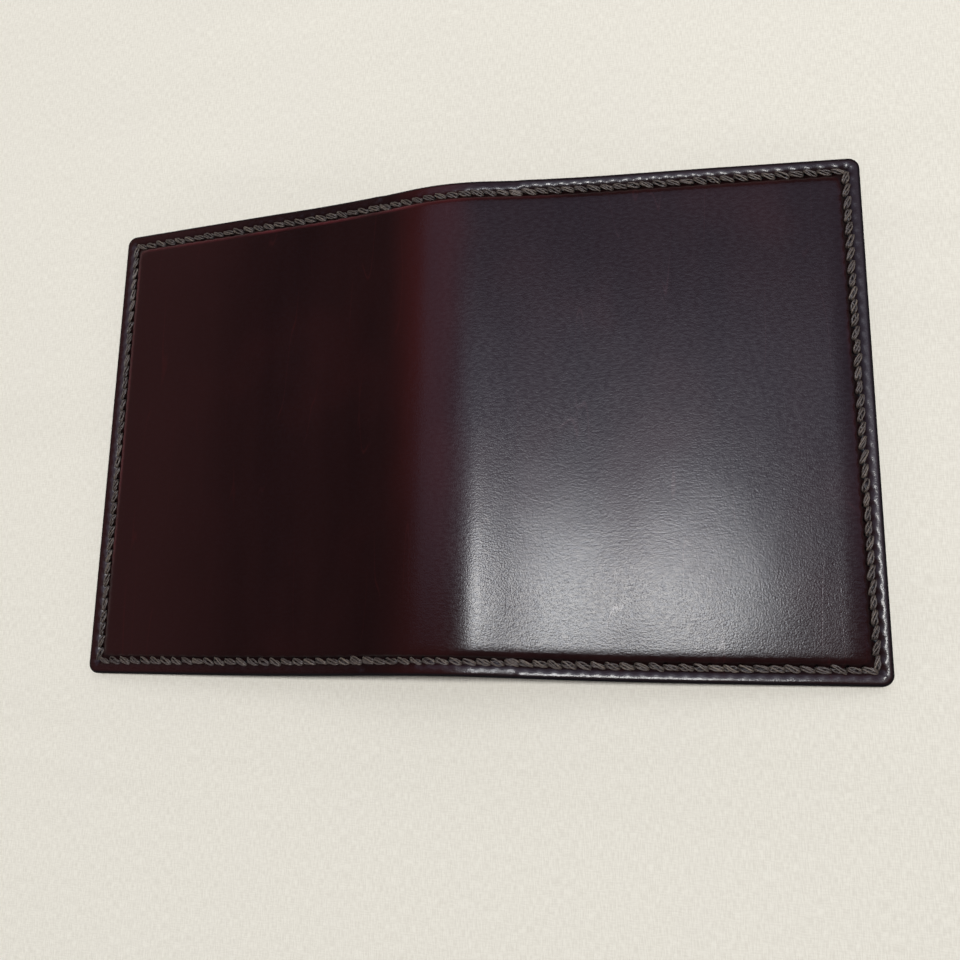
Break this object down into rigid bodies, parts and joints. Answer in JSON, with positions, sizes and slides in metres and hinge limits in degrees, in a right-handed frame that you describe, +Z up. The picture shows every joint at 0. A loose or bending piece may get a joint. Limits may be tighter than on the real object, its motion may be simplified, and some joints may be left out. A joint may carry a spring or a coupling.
{
  "type": "travel document organizer",
  "caption": "Folding leather travel document cover, sewn all round, with a passport sleeve, a document sleeve and card pockets, standing open like a low tent.",
  "frame": {"origin": "centre of the footprint, on the surface that the two outer edges stand on, under the spine", "axes": "+X across the open cover, from the passport half to the document half; +Y along the spine; +Z up, out of the outer face"},
  "size_m": [0.225, 0.14, 0.0164],
  "materials": {
    "outer_leather": "polished, smooth, satin gloss",
    "lining_leather": "matt, fine grain",
    "sleeve_leather": "satin, fine grain",
    "card_leather": "satin, fine grain",
    "thread": "waxed twisted linen",
    "board": "matt"
  },
  "bodies": {
    "left_cover": {"outer_cover_left": "outer_leather", "outer_cover_spine": "outer_leather", "stiffener_left": "board", "lining_left": "lining_leather", "lining_spine": "lining_leather", "passport_sleeve": "sleeve_leather", "perimeter_stitching_left": "thread", "sleeve_stitching_left": "thread", "spine_stitching": "thread"},
    "right_cover": {"outer_cover_right": "outer_leather", "stiffener_right": "board", "lining_right": "lining_leather", "document_sleeve": "sleeve_leather", "card_pocket_rear": "card_leather", "card_pocket_middle": "card_leather", "card_pocket_front": "card_leather", "perimeter_stitching_right": "thread", "sleeve_stitching_right": "thread", "card_pocket_stitching": "thread"}
  },
  "joints": [
    {"name": "spine_fold", "type": "hinge", "parent": "left_cover", "child": "right_cover", "pos_m": [0, 0, 0.00871], "axis": [0, 1, 0], "range_deg": [-10.4, 169.6], "deforming": ["outer_cover_spine", "lining_spine", "spine_stitching"]}
  ]
}
